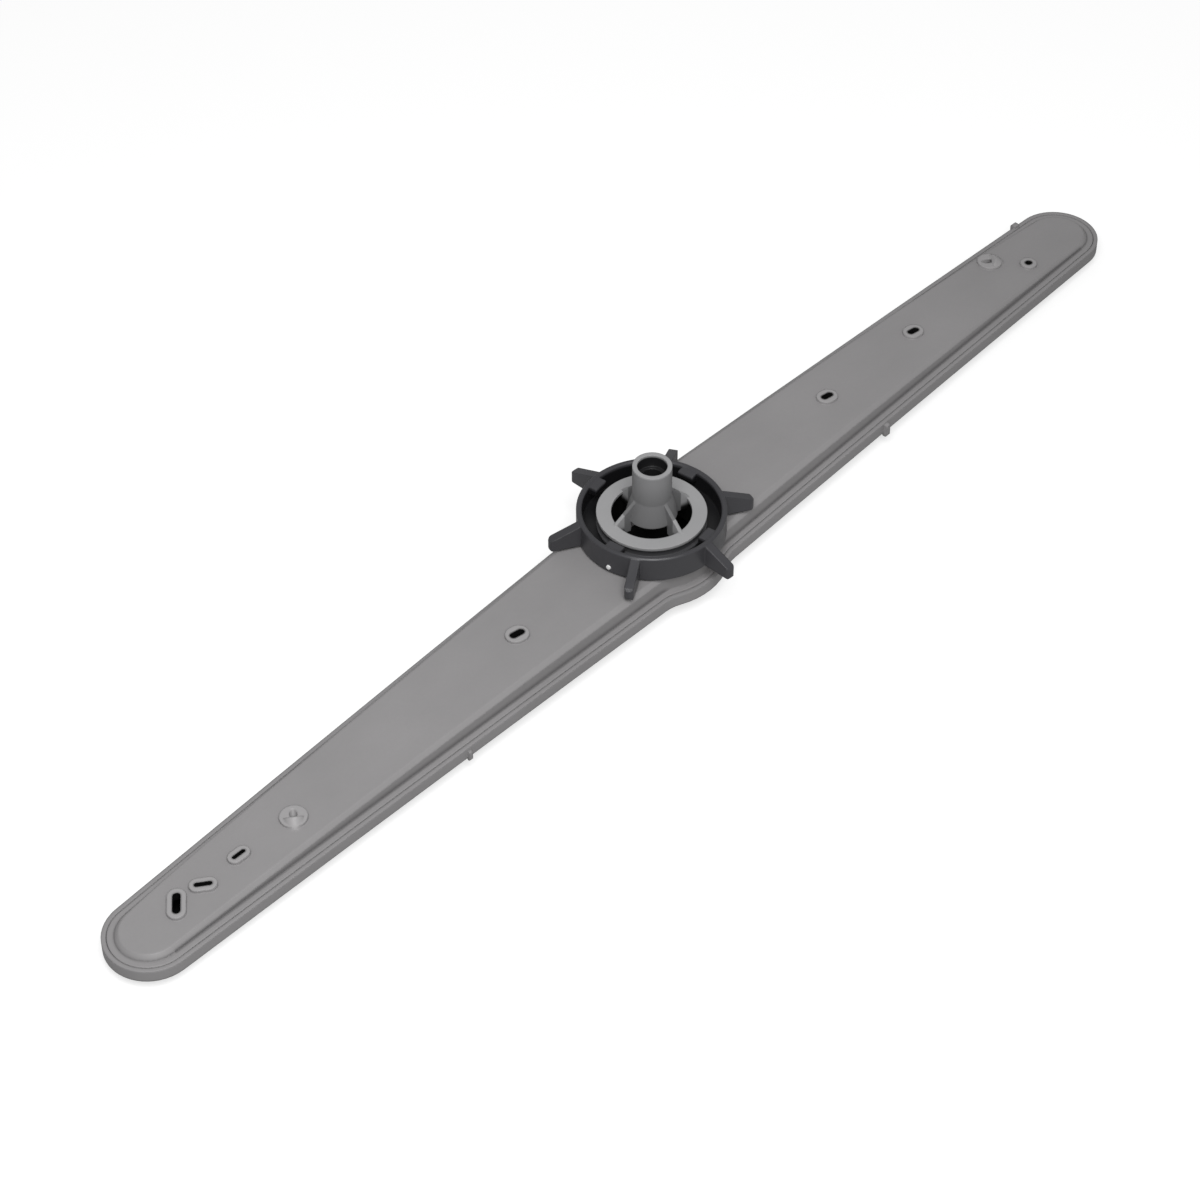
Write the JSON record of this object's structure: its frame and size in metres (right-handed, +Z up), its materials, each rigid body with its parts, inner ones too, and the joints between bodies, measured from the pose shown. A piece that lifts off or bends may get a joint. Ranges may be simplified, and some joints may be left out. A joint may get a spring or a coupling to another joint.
{
  "type": "dishwasher spray arm",
  "caption": "Long flat hollow spray arm with round ends, slot jets on its deck, a spoked hub with an upright tube and a loose lugged ring nut that fastens it to a water feed.",
  "frame": {"origin": "hub axis, on the flat underside of the arm", "axes": "+X along the arm towards the blade with the pair of end jets, +Z up along the hub tube"},
  "size_m": [0.47, 0.0696, 0.0445],
  "materials": {
    "arm_grey": "satin moulded polypropylene, mid grey",
    "hub_light_grey": "satin moulded polypropylene, light grey",
    "nut_dark_grey": "satin moulded polypropylene, dark grey"
  },
  "bodies": {
    "arm": {"upper_shell": "arm_grey", "lower_shell": "arm_grey", "hub": "hub_light_grey"},
    "nut": {"ring_nut": "nut_dark_grey"}
  },
  "joints": [
    {"name": "nut_spin", "type": "hinge", "parent": "arm", "child": "nut", "pos_m": [0, 0, 0.0218], "axis": [0, 0, 1], "continuous": true}
  ]
}
